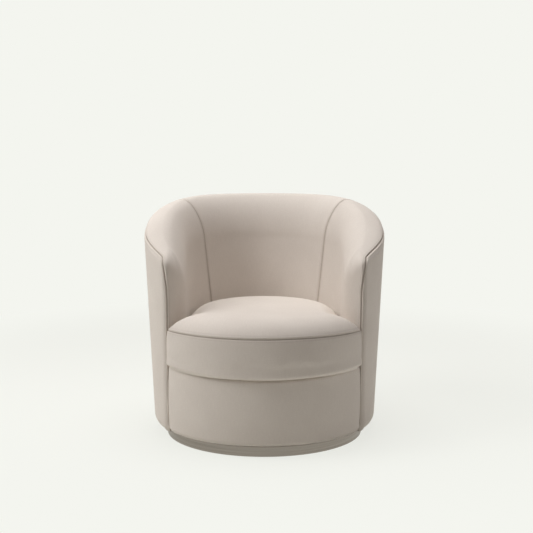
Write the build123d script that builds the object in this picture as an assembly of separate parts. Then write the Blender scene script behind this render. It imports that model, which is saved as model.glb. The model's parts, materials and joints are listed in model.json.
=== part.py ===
from build123d import *
import math
import os

# A swivel barrel chair: a round upholstered wall on a hidden wooden frame, a loose T-shaped seat cushion,
# and a low metal-banded plinth that the body turns on. Millimetres and degrees. +Z is up, -Y is the front.
# Angles around the wall are measured at the barrel's axis from the back, and grow towards the left arm.

# ---------------------------------------------------------------- driving dimensions
# Barrel wall
barrel_radius = 400.0         # outside of the wall where the rim's outer roll starts
wall_taper = 27.0
foot_radius = barrel_radius - wall_taper  # outside of the wall just above its bottom roll
underside_z = 36.0            # lowest line of the upholstered body
bottom_roll = 34.0            # radius of the wall's bottom edge
wall_end_angle = 129.0        # the wall is formed this far round before its front is cut
station_count = 23            # upright sections along the wall

# Rim height: a gentle fall across the back, then a steady fall along the arms
rim_back_height = 782.0       # crest at the middle of the back
rim_back_slope = 0.034        # fall per unit of distance forward, behind the blend
rim_arm_height = 599.0        # the arm line's height at rim_arm_y
rim_arm_y = -200.0
rim_arm_slope = 0.22
rim_blend_front = -299.0      # the two lines are blended between these distances
rim_blend_back = 358.0
rim_reference_inset = 20.0
rim_reference_radius = barrel_radius - rim_reference_inset  # the crest height is taken above this circle

# Rim section
outer_roll = 30.0             # radius between the outer wall and the crest
inner_roll = 50.0             # radius between the crest and the inner face
crest_flat = 6.0              # least width of the crest between the two rolls
crest_sag = 0.03              # crown of the crest, as a share of its width
wall_thickness = 143.0
inner_radius = barrel_radius - wall_thickness  # inner face at seat height, half the width between the arms
inner_lean = 0.145            # how far the inner back leans outwards for each unit of height
lean_start_z = 371.0          # the inner face is upright below this height

# Arm fronts: a nose round the outer edge, then a long rounding into the inner face
nose_radius = 28.0
nose_inset = 10.0
nose_reach = barrel_radius - nose_inset  # the nose touches a circle of this radius
arm_seam_share = (0.77125, -0.5575)      # place of the arm's front seam, in barrel radii
arm_seam_x = arm_seam_share[0] * barrel_radius  # upright seam between the outer cover and the arm's front
arm_seam_y = arm_seam_share[1] * barrel_radius
arm_rounding_share = -0.2925
arm_rounding_y = arm_rounding_share * barrel_radius  # the long rounding meets the straight inner face here

# Upholstery layers
cover_thickness = 12.0        # outer cover with its wadding
pad_thickness = 35.0          # inside back and arm pads
crest_thickness = 42.0        # padding above the top rail
back_seam_inner_angle = 43.5  # seam between back and arm pads, at the inner face
back_seam_outer_angle = 51.0  # and at the outer edge
front_pad_thickness = 15.0
front_pad_roll = 18.0
arm_front_padding = 43.0
arm_front_pad_y = arm_seam_y + arm_front_padding  # the arm's hollow ends here

# Swivel side: plinth, front panel and cushion front share the swivel's axis
swivel_setback = 27.0         # swivel axis in front of the barrel's axis
front_panel_inset = 40.0
front_radius = barrel_radius - front_panel_inset  # face of the front panel
front_panel_top = 246.0

# Seat
deck_above_panel = 3.0
deck_z = front_panel_top + deck_above_panel  # top of the seat deck
deck_thickness = 8.3
deck_edge_gap = 1.0           # round the deck, inside the wall
cushion_overhang = 13.0
cushion_front_radius = front_radius + cushion_overhang
cushion_seam_z = 371.0        # piped seam at the top of the cushion's border
cushion_crown_z = 423.0
cushion_gap = 0.7             # to the pads around it
cushion_corner = 12.0
cushion_corner_growth = 0.15  # the corners open up as the crown draws in
cushion_wrap = 14.0           # cover and fibre wrap round the foam core
# Share of the border's or the crown's height, and how far the outline draws in there
cushion_border = ((0.0, 10.0), (0.08, 4.0), (0.5, 0.0), (0.9, 2.5), (1.0, 5.0))
cushion_top = ((0.0, 5.0), (0.42, 18.0), (0.74, 45.0), (0.93, 92.0), (1.0, 165.0))
core_insets = (4.0, 5.0, 110.0)  # of the core's foot, side and top, inside the wrap

# Plinth and swivel
plinth_inset = 33.0
plinth_radius = front_radius - plinth_inset
plinth_height = 32.0
band_thickness = 1.2
band_lift = 0.8               # lower edge of the band above the floor
hoop_thickness = 20.0
base_board_thickness = 16.0
glide_height = 2.5
glide_radius = 12.0
glide_chamfer = 0.8
glide_inset = 42.0
glide_circle = plinth_radius - glide_inset
glide_count = 8
nail_radius = 1.6
nail_length = 9.0
plate_size = 180.0
plate_thickness = 2.5
plate_corner = 12.0
plate_screw_offset = 75.0
race_radius = 60.0
race_width = 20.0
ball_radius = 4.5
ball_count = 16
race_gap = 6.0                # between the two races
race_height = 8.0
cage_width = 14.0
cage_thickness = 1.6
pin_radius = 7.95
pin_head_radius = 12.0
pin_head_height = 3.0

# Frame timber
ring_thickness = 22.0
ring_lift = 2.0               # bottom ring above the body's lowest line
ring_hole_inset = 65.0
ring_hole_radius = plinth_radius - ring_hole_inset
swivel_rail_width = 60.0
swivel_rail_offset = 55.0
swivel_rail_height = 22.0
post_depth = 35.0
post_width = 40.0
post_angles = (25.0, 75.0, 114.0)
top_rail_height = 28.0
top_rail_inset = 5.0          # from the padding to the rail's inner edge
top_rail_outset = 6.0         # from the outer cover to the rail's outer edge
rail_haunch = 10.0            # padding's step below the top rail
rail_nib = 2.0                # padding's ledge at each edge of the top rail
board_top_gap = 12.0          # from the top rail down to the boards
outer_board_lift = 1.0        # outer board above the bottom roll
post_foot_inset = 9.0         # post screws inside the bottom roll
seat_rail_height = 24.0
seat_rail_setback = 7.0
seat_rail_inner = inner_radius + seat_rail_setback
seat_rail_end_angle = 118.0
front_rail_depth = 24.0
front_rail_height = 30.0
front_rail_side_gap = 8.5
front_rail_half = arm_seam_x - front_rail_side_gap  # half the front rail's length
outer_board_thickness = 4.0
inner_board_thickness = 4.0
inner_board_setback = 73.0
inner_board_front_y = arm_seam_y + inner_board_setback
front_board_thickness = 3.0
dust_cover_thickness = 1.2
dust_cover_hole = 150.0
dust_cover_margin = 8.0       # from its edge to the turned-in upholstery

# Springs and fixings
spring_offsets = (-150.0, -75.0, 0.0, 75.0, 150.0)
spring_wire_radius = 1.9
spring_amplitude = 24.0
spring_pitch = 38.0
spring_lead = 22.0            # straight wire at each end
spring_back_hold = 22.0       # how far the wire reaches over the seat rail
spring_bend = 0.42            # radius of the wire's turns, as a share of their pitch
clip_length = 9.0
clip_width = 18.0
clip_height = 7.0
screw_head_radius = 5.0
screw_head_height = 2.4
screw_shank_radius = 2.2
screw_length = 18.0
post_screw_length = 60.0

# Zip in the cushion's back border
zip_z = 310.0
zip_half_angle = 45.0
zip_pocket_height = 24.0
zip_pocket_depth = 8.0
tape_thickness = 1.2
teeth_height = 3.0
teeth_depth = 1.6
slider_depth = 3.4
slider_height = 10.0
slider_length = 9.0
slider_rest_angle = 40.0

# Clearances
seat_gap = 0.3                # between pieces that bear on each other
running_clearance = 0.05      # round the swivel pin
ball_clearance = 0.3
screw_clearance = 0.1
board_room = 1.6              # between the outer board and the flat posts behind it

# ---------------------------------------------------------------- shared measures
swivel_axis = Location((0, -swivel_setback, 0))
wall_foot_z = underside_z + bottom_roll
ring_bottom_z = underside_z + ring_lift
ring_top_z = ring_bottom_z + ring_thickness
base_board_z = glide_height
lower_plate_z = base_board_z + base_board_thickness
lower_race_top = lower_plate_z + plate_thickness + race_height
ball_z = lower_race_top + race_gap / 2
upper_race_bottom = lower_race_top + race_gap
upper_plate_z = upper_race_bottom + race_height
swivel_rail_z = upper_plate_z + plate_thickness
seat_rail_top = deck_z - deck_thickness - clip_height - 2 * seat_gap
spring_z = seat_rail_top + clip_height / 2
hollow_bottom_z = deck_z - 60.0
build_height = rim_back_height + 60.0
build_reach = barrel_radius + 120.0


def radial_plane(angle):
    """Upright plane through the barrel's axis: local x runs outwards, local y upwards."""
    a = math.radians(angle)
    return Plane(
        origin=(0, 0, 0), x_dir=(-math.sin(a), math.cos(a), 0), z_dir=(math.cos(a), math.sin(a), 0)
    )


def rim_height(angle):
    y = rim_reference_radius * math.cos(math.radians(angle))
    t = (y - rim_blend_front) / (rim_blend_back - rim_blend_front)
    t = min(max(t, 0.0), 1.0)
    blend = t * t * (3 - 2 * t)
    arm_line = rim_arm_height + rim_arm_slope * (y - rim_arm_y)
    back_line = rim_back_height - rim_back_slope * (rim_reference_radius - y)
    return arm_line * (1 - blend) + back_line * blend


def outer_radius(angle, z):
    """Outer face: a cone from the foot to the start of the outer roll."""
    top = rim_height(angle) - outer_roll
    share = (z - wall_foot_z) / (top - wall_foot_z)
    return foot_radius + (barrel_radius - foot_radius) * share


def lining_radius(angle, z):
    """Inner face of the outer cover."""
    return outer_radius(angle, z) - cover_thickness


def inner_face(angle, z):
    """Inner face of the pads: round at the back, straight along the arms."""
    base = inner_radius
    if abs(angle) > 90:
        base = inner_radius / math.sin(math.radians(abs(angle)))
    lean = inner_lean * ((1 + math.cos(math.radians(angle))) / 2) ** 2
    return base + lean * max(0.0, z - lean_start_z)


def stations(end=wall_end_angle, count=station_count):
    return [-end + 2 * end * i / (count - 1) for i in range(count)]


def polygon_face(points):
    return make_face(Polyline(*points, close=True))


def loft_sections(section, end=wall_end_angle, count=station_count):
    return loft([radial_plane(a) * section(a) for a in stations(end, count)])


# ---------------------------------------------------------------- plan of the arm fronts
def arm_rounding():
    """Centre and radius of the arm front's long rounding, on the left side."""
    side = arm_seam_x - inner_radius
    depth = arm_rounding_y - arm_seam_y
    radius = (side * side + depth * depth) / (2 * side)
    return -(inner_radius + radius), arm_rounding_y, radius


def nose_centre():
    """The nose passes through the seam and touches the reach circle from inside."""
    reach = nose_reach - nose_radius
    seam = math.hypot(arm_seam_x, arm_seam_y)
    turn = math.acos((reach**2 + seam**2 - nose_radius**2) / (2 * reach * seam))
    angle = math.atan2(arm_seam_x, arm_seam_y) - turn
    return -reach * math.sin(angle), reach * math.cos(angle), angle


def wall_plan(gap=0.0):
    """Everything behind the arm fronts, as seen from above. A gap makes it larger."""
    cx, cy, radius = arm_rounding()
    nx, ny, angle = nose_centre()
    r = radius + gap
    touch = (-nose_reach * math.sin(angle), nose_reach * math.cos(angle))
    back = (touch[0] + build_reach * math.cos(angle), touch[1] + build_reach * math.sin(angle))
    away = (-math.sin(angle), math.cos(angle))
    touch = (touch[0] + away[0] * gap, touch[1] + away[1] * gap)
    back = (back[0] + away[0] * gap, back[1] + away[1] * gap)
    seam = (-arm_seam_x, arm_seam_y - gap)
    half = math.atan2(seam[1] - ny, seam[0] - nx) % (2 * math.pi)
    start = math.atan2(touch[1] - ny, touch[0] - nx) % (2 * math.pi)
    bend = (half + start) / 2
    nose_mid = (nx + (nose_radius + gap) * math.cos(bend), ny + (nose_radius + gap) * math.sin(bend))
    seam_angle = math.atan2(seam[1] - cy, seam[0] - cx)
    mid = (cx + r * math.cos(seam_angle / 2), cy + r * math.sin(seam_angle / 2))
    end = (cx + r, cy)
    far = (-2 * build_reach, 2 * build_reach)
    left = [
        Line((0, 2 * build_reach), far),
        Line(far, back),
        Line(back, touch),
        ThreePointArc(touch, nose_mid, seam),
        ThreePointArc(seam, mid, end),
        Line(end, (0, arm_rounding_y)),
        Line((0, arm_rounding_y), (0, 2 * build_reach)),
    ]
    half_plan = make_face(left)
    return half_plan + mirror(half_plan, about=Plane.YZ)


def wall_keep(gap=0.0):
    return extrude(wall_plan(gap), build_height)


# ---------------------------------------------------------------- wall sections
def pad_section(angle):
    height = rim_height(angle)
    roll_z = height - outer_roll
    top_inner = inner_face(angle, height)
    roll_in = min(inner_roll, barrel_radius - top_inner - outer_roll - crest_flat)
    inner_z = height - roll_in
    inner_top = inner_face(angle, inner_z)
    crest_out = barrel_radius - outer_roll
    crest_in = inner_top + roll_in
    sag = crest_sag * (crest_out - crest_in)
    shoulder = roll_in * math.sqrt(0.5)
    outer_shoulder = outer_roll * math.sqrt(0.5)
    edges = [
        Line((lining_radius(angle, deck_z), deck_z), (lining_radius(angle, roll_z), roll_z)),
        Line((lining_radius(angle, roll_z), roll_z), (barrel_radius, roll_z)),
        ThreePointArc(
            (barrel_radius, roll_z),
            (crest_out + outer_shoulder, roll_z + outer_shoulder),
            (crest_out, height),
        ),
        ThreePointArc(
            (crest_out, height), ((crest_out + crest_in) / 2, height + sag), (crest_in, height)
        ),
        ThreePointArc(
            (crest_in, height), (crest_in - shoulder, inner_z + shoulder), (inner_top, inner_z)
        ),
        Line((inner_top, inner_z), (inner_face(angle, lean_start_z), lean_start_z)),
        Line((inner_face(angle, lean_start_z), lean_start_z), (inner_face(angle, deck_z), deck_z)),
        Line((inner_face(angle, deck_z), deck_z), (lining_radius(angle, deck_z), deck_z)),
    ]
    return make_face(edges)


def rail_span(angle):
    """Inner and outer edge of the top rail."""
    level = rim_height(angle) - crest_thickness
    rail_in = inner_face(angle, level) + pad_thickness + top_rail_inset
    return rail_in, lining_radius(angle, level) - top_rail_outset


def hollow_section(angle):
    """The room inside the wall, open below and towards the outer cover."""
    height = rim_height(angle)
    rail_in, rail_out = rail_span(angle)
    top = height - crest_thickness
    haunch = top - top_rail_height - rail_haunch
    back = pad_thickness
    return polygon_face(
        [
            (build_reach, hollow_bottom_z),
            (build_reach, haunch),
            (rail_out + rail_nib, top),
            (rail_in - rail_nib, top),
            (inner_face(angle, haunch) + back, haunch),
            (inner_face(angle, lean_start_z) + back, lean_start_z),
            (inner_face(angle, hollow_bottom_z) + back, hollow_bottom_z),
        ]
    )


def top_rail_section(angle):
    rail_in, rail_out = rail_span(angle)
    top = rim_height(angle) - crest_thickness - seat_gap
    return polygon_face(
        [
            (rail_in, top - top_rail_height),
            (rail_out, top - top_rail_height),
            (rail_out, top),
            (rail_in, top),
        ]
    )


def cover_section(angle):
    top = rim_height(angle) - outer_roll - seat_gap
    foot = wall_foot_z
    inner = bottom_roll - cover_thickness
    turn = foot_radius - bottom_roll
    out_bend = bottom_roll * math.sqrt(0.5)
    in_bend = inner * math.sqrt(0.5)
    edges = [
        ThreePointArc((turn, underside_z), (turn + out_bend, foot - out_bend), (foot_radius, foot)),
        Line((foot_radius, foot), (outer_radius(angle, top), top)),
        Line((outer_radius(angle, top), top), (lining_radius(angle, top), top)),
        Line((lining_radius(angle, top), top), (turn + inner, foot)),
        ThreePointArc((turn + inner, foot), (turn + in_bend, foot - in_bend), (turn, foot - inner)),
        Line((turn, foot - inner), (turn, underside_z)),
    ]
    return make_face(edges)


def outer_board_section(angle):
    top = rim_height(angle) - crest_thickness - top_rail_height - board_top_gap
    low = wall_foot_z + outer_board_lift
    out = seat_gap
    back = seat_gap + outer_board_thickness
    return polygon_face(
        [
            (lining_radius(angle, low) - back, low),
            (lining_radius(angle, low) - out, low),
            (lining_radius(angle, top) - out, top),
            (lining_radius(angle, top) - back, top),
        ]
    )


def inner_board_section(angle):
    top = rim_height(angle) - crest_thickness - top_rail_height - board_top_gap
    front = pad_thickness + seat_gap
    back = front + inner_board_thickness
    return polygon_face(
        [
            (inner_face(angle, deck_z) + front, deck_z),
            (inner_face(angle, lean_start_z) + front, lean_start_z),
            (inner_face(angle, top) + front, top),
            (inner_face(angle, top) + back, top),
            (inner_face(angle, lean_start_z) + back, lean_start_z),
            (inner_face(angle, deck_z) + back, deck_z),
        ]
    )


def behind(y):
    """A block that holds everything behind the given distance."""
    return Pos(0, y + build_reach, build_height / 2) * Box(
        4 * build_reach, 2 * build_reach, 2 * build_height
    )


def back_wedge():
    """The part of the wall between the two back seams, as an upright block."""
    a = math.radians(back_seam_inner_angle)
    b = math.radians(back_seam_outer_angle)
    near = (-inner_radius * math.sin(a), inner_radius * math.cos(a))
    far = (-barrel_radius * math.sin(b), barrel_radius * math.cos(b))
    slope = (far[1] - near[1]) / (far[0] - near[0])
    left = -2 * build_reach
    plan = [
        (0, near[1] - slope * near[0]),
        (left, near[1] + slope * (left - near[0])),
        (left, 3 * build_reach),
        (-left, 3 * build_reach),
        (-left, near[1] + slope * (left - near[0])),
    ]
    return extrude(polygon_face(plan), build_height)


# ---------------------------------------------------------------- upholstered wall
def make_pads():
    whole = loft_sections(pad_section) & wall_keep()
    hollow = loft_sections(hollow_section) & behind(arm_front_pad_y)
    padding = whole - hollow
    wedge = back_wedge()
    back = padding & wedge
    arms = (padding - wedge).solids()
    left = min(arms, key=lambda s: s.center().X)
    right = max(arms, key=lambda s: s.center().X)
    return back, left, right


def make_outer_cover():
    return loft_sections(cover_section) & wall_keep()


def front_ring(outer, inner, low, high):
    """Part of a ring about the swivel axis, in front of the arms."""
    ring = Pos(0, 0, low) * extrude(Circle(outer) - Circle(inner), high - low)
    ring = swivel_axis * ring
    half = Pos(0, -build_reach + arm_rounding_y, build_height / 2) * Box(
        2 * arm_seam_x, 2 * build_reach, build_height
    )
    return ring & half


def make_front_panel_pad():
    inner = front_radius - front_pad_thickness
    turn = front_radius - front_pad_roll
    bend = front_pad_roll * math.sqrt(0.5)
    foot = underside_z + front_pad_roll
    outline = [
        Line((inner, foot), (inner, front_panel_top)),
        Line((inner, front_panel_top), (front_radius, front_panel_top)),
        Line((front_radius, front_panel_top), (front_radius, foot)),
        ThreePointArc((front_radius, foot), (turn + bend, foot - bend), (turn, underside_z)),
        Line((turn, underside_z), (turn, foot)),
        Line((turn, foot), (inner, foot)),
    ]
    pad = swivel_axis * revolve(Plane.XZ * make_face(outline), Axis.Z)
    half = Pos(0, -build_reach + arm_rounding_y, build_height / 2) * Box(
        2 * arm_seam_x, 2 * build_reach, build_height
    )
    return (pad & half) - wall_keep(seat_gap)


# ---------------------------------------------------------------- frame
def make_post(angle):
    low = ring_top_z + seat_gap
    top = rim_height(angle) - crest_thickness - top_rail_height / 2
    skin = outer_board_thickness + board_room
    outline = polygon_face(
        [
            (lining_radius(angle, low) - skin - post_depth, low),
            (lining_radius(angle, low) - skin, low),
            (lining_radius(angle, top) - skin, top),
            (lining_radius(angle, top) - skin - post_depth, top),
        ]
    )
    return radial_plane(angle) * extrude(outline, post_width / 2, both=True)


def make_posts(top_rail):
    posts = {}
    names = ("back_post", "side_post", "front_post")
    for name, angle in zip(names, post_angles):
        left = (make_post(angle) - top_rail).solids().sort_by(SortBy.VOLUME)[-1]
        posts[name + "_left"] = left
        posts[name + "_right"] = mirror(left, about=Plane.YZ)
    return posts


def body_plan(back_radius, front):
    """A disc about the barrel's axis, with the fuller front about the swivel's axis between the arms."""
    return Circle(back_radius) + (Pos(0, -swivel_setback) * Circle(front) - wall_plan(seat_gap))


def make_bottom_ring():
    back_edge = foot_radius - bottom_roll - seat_gap
    front_edge = front_radius - front_pad_roll - seat_gap
    plan = body_plan(back_edge, front_edge) - Pos(0, -swivel_setback) * Circle(ring_hole_radius)
    return Pos(0, 0, ring_bottom_z) * extrude(plan, ring_thickness)


def make_swivel_rail(side):
    bar = Pos(0, side * swivel_rail_offset, swivel_rail_z + swivel_rail_height / 2) * Box(
        2 * ring_hole_radius, swivel_rail_width, swivel_rail_height
    )
    room = Pos(0, 0, swivel_rail_z) * extrude(Circle(ring_hole_radius - seat_gap), swivel_rail_height)
    return swivel_axis * (bar & room)


def make_seat_rail():
    low = seat_rail_top - seat_rail_height
    skin = outer_board_thickness + board_room
    outer = lining_radius(0, low) - skin - post_depth - seat_gap
    ring = Pos(0, 0, low) * extrude(Circle(outer) - Circle(seat_rail_inner), seat_rail_height)
    edge_y = outer * math.cos(math.radians(seat_rail_end_angle))
    return ring & behind(edge_y)


def make_front_rail(posts):
    outer = front_radius - front_pad_thickness - 2 * seat_gap
    rail = front_ring(outer, outer - front_rail_depth, seat_rail_top - front_rail_height, seat_rail_top)
    rail = rail & Box(2 * front_rail_half, 4 * build_reach, 2 * build_height)
    for post in (posts["front_post_left"], posts["front_post_right"]):
        rail = rail - offset_block(post)
    return rail.solids().sort_by(Axis.Y)[0]


def offset_block(post):
    """The post with a little room round it, for the notch that fits over it."""
    box = post.bounding_box()
    size = box.size
    centre = box.center()
    return Pos(centre.X, centre.Y, centre.Z) * Box(
        size.X + 2 * seat_gap, size.Y + 2 * seat_gap, size.Z
    )


def make_front_board():
    outer = front_radius - front_pad_thickness - seat_gap
    board = front_ring(
        outer,
        outer - front_board_thickness,
        ring_top_z + seat_gap,
        seat_rail_top - front_rail_height - seat_gap,
    )
    return board - wall_keep(2 * seat_gap)


def make_dust_cover():
    back_edge = foot_radius - bottom_roll - dust_cover_margin
    front_edge = front_radius - front_pad_roll - dust_cover_margin
    plan = body_plan(back_edge, front_edge) - Pos(0, -swivel_setback) * Circle(dust_cover_hole)
    return Pos(0, 0, ring_bottom_z - dust_cover_thickness - seat_gap) * extrude(plan, dust_cover_thickness)


# ---------------------------------------------------------------- seat deck and springs
def make_deck_pad():
    plan = body_plan(
        inner_radius + pad_thickness - deck_edge_gap,
        front_radius - front_pad_thickness - seat_gap,
    )
    return Pos(0, 0, deck_z - seat_gap - deck_thickness) * extrude(plan, deck_thickness)


def spring_ends(x):
    """Front and back ends of the spring wire at this distance from the middle."""
    front = front_radius - front_pad_thickness - front_rail_depth / 2
    back = seat_rail_inner + spring_back_hold
    return -swivel_setback - math.sqrt(front**2 - x * x), math.sqrt(back**2 - x * x)


def make_springs():
    wires = []
    for x in spring_offsets:
        start, end = spring_ends(x)
        lead = spring_lead
        rows = int((end - start - 2 * lead) / spring_pitch)
        rows = rows - rows % 2 + 1
        pitch = (end - start - 2 * lead) / rows
        points = [(x, start), (x, start + lead)]
        side = 1
        for row in range(rows + 1):
            y = start + lead + row * pitch
            first = x if row == 0 else x - side * spring_amplitude
            last = x if row == rows else x + side * spring_amplitude
            if row:
                points.append((first, y))
            points.append((last, y))
            side = -side
        points.append((x, end))
        bend = spring_bend * min(pitch, spring_amplitude)
        path = FilletPolyline(*points, radius=bend)
        section = Plane(origin=(x, start, 0), z_dir=(0, 1, 0)) * Circle(spring_wire_radius)
        wires.append(Pos(0, 0, spring_z) * sweep(section, path=path))
    return wires


def make_spring_clips():
    clips = []
    for x in spring_offsets:
        for y, turn in zip(spring_ends(x), (1, -1)):
            middle = y + turn * clip_length / 2
            block = Pos(x, middle, spring_z) * Box(clip_width, clip_length, clip_height)
            bore = Pos(x, middle, spring_z) * (
                Rot(90, 0, 0) * Cylinder(spring_wire_radius + screw_clearance, 2 * clip_length)
            )
            clips.append(block - bore)
    return clips


# ---------------------------------------------------------------- cushion
def seat_plan(inset):
    """The T-shaped seat, drawn in all round by the inset."""
    cx, cy, radius = arm_rounding()
    front = cushion_front_radius - inset
    side = inner_radius - cushion_gap - inset
    arm = radius + cushion_gap + inset
    gap_x = -cx
    gap_y = -swivel_setback - cy
    span = math.hypot(gap_x, gap_y)
    along = (arm**2 - front**2 + span**2) / (2 * span)
    rise = math.sqrt(arm**2 - along**2)
    ux, uy = gap_x / span, gap_y / span
    corner = (cx + along * ux + rise * uy, cy + along * uy - rise * ux)
    turn = math.atan2(corner[1] - cy, corner[0] - cx) / 2
    bend = (cx + arm * math.cos(turn), cy + arm * math.sin(turn))
    middle = (0, -swivel_setback - front)
    quarter = side * math.sqrt(0.5)
    edges = [
        ThreePointArc(corner, middle, (-corner[0], corner[1])),
        ThreePointArc((-corner[0], corner[1]), (-bend[0], bend[1]), (side, cy)),
        Line((side, cy), (side, 0)),
        ThreePointArc((side, 0), (quarter, quarter), (0, side)),
        ThreePointArc((0, side), (-quarter, quarter), (-side, 0)),
        Line((-side, 0), (-side, cy)),
        ThreePointArc((-side, cy), bend, corner),
    ]
    face = make_face(edges)
    corners = [v for v in face.vertices() if abs(v.Y - corner[1]) < 0.01]
    return fillet(corners, cushion_corner + cushion_corner_growth * inset)


def stack(layers):
    return loft([Pos(0, 0, z) * seat_plan(inset) for z, inset in layers])


def make_cushion():
    border = cushion_seam_z - deck_z
    crown = cushion_crown_z - cushion_seam_z
    sides = [(deck_z + share * border, inset) for share, inset in cushion_border]
    top = [(cushion_seam_z + share * crown, inset) for share, inset in cushion_top]
    outside = stack(sides) + stack(top)
    core_low = deck_z + cushion_wrap / 2
    core_side = cushion_seam_z - cushion_wrap / 2
    core_top = cushion_crown_z - cushion_wrap
    low, side, shoulder = (cushion_wrap + inset for inset in core_insets)
    core = stack([(core_low, low), (core_side, side)]) + stack([(core_side, side), (core_top, shoulder)])
    room = stack([(core_low - seat_gap, low - seat_gap), (core_side, side - seat_gap)])
    room = room + stack([(core_side, side - seat_gap), (core_top + seat_gap, shoulder - seat_gap)])
    cover = outside - room - zip_pocket()
    return cover, core


def arc_band(inner, outer, low, high, half_angle):
    """Part of a ring about the barrel's axis, centred on the back."""
    ring = Pos(0, 0, low) * extrude(Circle(outer) - Circle(inner), high - low)
    a = math.radians(half_angle)
    reach = 2 * outer
    slice_plan = polygon_face(
        [(0, 0), (-reach * math.sin(a), reach * math.cos(a)), (reach * math.sin(a), reach * math.cos(a))]
    )
    return ring & extrude(slice_plan, build_height)


def zip_floor():
    return inner_radius - cushion_gap - zip_pocket_depth


def zip_pocket():
    half = zip_pocket_height / 2
    return arc_band(zip_floor(), inner_radius + 20.0, zip_z - half, zip_z + half, zip_half_angle)


def make_zip():
    half = zip_pocket_height / 2 - 1.0
    low = zip_floor() + seat_gap
    tape = arc_band(low, low + tape_thickness, zip_z - half, zip_z + half, zip_half_angle - 0.5)
    teeth = arc_band(
        low + tape_thickness,
        low + tape_thickness + teeth_depth,
        zip_z - teeth_height / 2,
        zip_z + teeth_height / 2,
        zip_half_angle - 1.5,
    )
    return tape + teeth


def make_zip_slider():
    low = zip_floor() + tape_thickness + teeth_depth + 2 * seat_gap
    half = slider_height / 2
    turn = math.degrees(slider_length / 2 / low)
    slider = arc_band(low, low + slider_depth, zip_z - half, zip_z + half, turn)
    return Rot(0, 0, slider_rest_angle) * slider


# ---------------------------------------------------------------- plinth and swivel
def polar_points(radius, count, start=0.0):
    step = 2 * math.pi / count
    return [
        (radius * math.cos(start + step * i), radius * math.sin(start + step * i)) for i in range(count)
    ]


def square_points(offset):
    return [(x, y) for x in (-offset, offset) for y in (-offset, offset)]


def make_screws(points, seat_z, up, length):
    """Pan-head screws whose heads bear on the given plane and whose shanks run up or down."""
    screws = []
    sign = 1 if up else -1
    for x, y in points:
        head = Pos(x, y, seat_z - sign * (screw_head_height / 2)) * Cylinder(
            screw_head_radius, screw_head_height
        )
        shank = Pos(x, y, seat_z + sign * length / 2) * Cylinder(screw_shank_radius, length)
        screws.append(head + shank)
    return screws


def drill(solid, points, radius, low, high):
    for x, y in points:
        solid = solid - Pos(x, y, (low + high) / 2) * Cylinder(radius, high - low)
    return solid


def make_glides():
    glides = []
    for x, y in polar_points(glide_circle, glide_count, math.pi / glide_count):
        foot = Pos(x, y, glide_height / 2) * Cylinder(glide_radius, glide_height)
        foot = chamfer(foot.edges().group_by(Axis.Z)[0], glide_chamfer)
        nail = Pos(x, y, glide_height + nail_length / 2) * Cylinder(nail_radius, nail_length)
        glides.append(swivel_axis * (foot + nail))
    return glides


def make_base_board():
    radius = plinth_radius - band_thickness - hoop_thickness - 2 * seat_gap
    board = Pos(0, 0, base_board_z) * extrude(Circle(radius), base_board_thickness)
    nails = polar_points(glide_circle, glide_count, math.pi / glide_count)
    board = drill(
        board, nails, nail_radius + screw_clearance, base_board_z - 1, base_board_z + nail_length + seat_gap
    )
    screws = square_points(plate_screw_offset)
    board = drill(
        board, screws, screw_shank_radius + screw_clearance, base_board_z - 1, lower_plate_z + 1
    )
    well = Pos(0, 0, lower_plate_z - pin_head_height) * extrude(
        Circle(pin_head_radius + seat_gap), pin_head_height
    )
    return swivel_axis * (board - well)


def make_plinth_hoop():
    outer = plinth_radius - band_thickness - seat_gap
    hoop = Circle(outer) - Circle(outer - hoop_thickness)
    return swivel_axis * (Pos(0, 0, base_board_z) * extrude(hoop, plinth_height - base_board_z))


def make_plinth_band():
    band = Circle(plinth_radius) - Circle(plinth_radius - band_thickness)
    return swivel_axis * (Pos(0, 0, band_lift) * extrude(band, plinth_height - band_lift))


def plate_outline():
    return RectangleRounded(plate_size, plate_size, plate_corner)


def race_groove():
    centre = Plane.XZ * (Pos(race_radius, ball_z) * Circle(ball_radius + ball_clearance))
    return revolve(centre, Axis.Z)


def race_ring(low):
    half = race_width / 2
    ring = Circle(race_radius + half) - Circle(race_radius - half)
    return Pos(0, 0, low) * extrude(ring, race_height)


def make_lower_plate():
    plate = Pos(0, 0, lower_plate_z) * extrude(plate_outline(), plate_thickness)
    plate = plate + race_ring(lower_plate_z + plate_thickness) - race_groove()
    top = lower_plate_z + plate_thickness
    plate = drill(plate, [(0, 0)], pin_radius + running_clearance, lower_plate_z - 1, top + 1)
    holes = square_points(plate_screw_offset)
    plate = drill(plate, holes, screw_shank_radius + screw_clearance, lower_plate_z - 1, top + 1)
    return swivel_axis * plate


def make_upper_plate():
    plate = Pos(0, 0, upper_plate_z) * extrude(plate_outline(), plate_thickness)
    plate = plate + race_ring(upper_race_bottom) - race_groove()
    top = upper_plate_z + plate_thickness
    plate = drill(plate, [(0, 0)], pin_radius + running_clearance, upper_plate_z - 1, top + 1)
    holes = square_points(plate_screw_offset)
    plate = drill(plate, holes, screw_shank_radius + screw_clearance, upper_plate_z - 1, top + 1)
    return swivel_axis * plate


def make_swivel_pin():
    top = upper_plate_z + plate_thickness + seat_gap
    low = lower_plate_z - pin_head_height
    shank = Pos(0, 0, (lower_plate_z + top) / 2) * Cylinder(pin_radius, top - lower_plate_z)
    foot = Pos(0, 0, low + pin_head_height / 2) * Cylinder(pin_head_radius, pin_head_height)
    head = Pos(0, 0, top + pin_head_height / 2) * Cylinder(pin_head_radius, pin_head_height)
    return swivel_axis * (shank + foot + head)


def make_balls():
    places = polar_points(race_radius, ball_count)
    return [swivel_axis * (Pos(x, y, ball_z) * Sphere(ball_radius)) for x, y in places]


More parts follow.
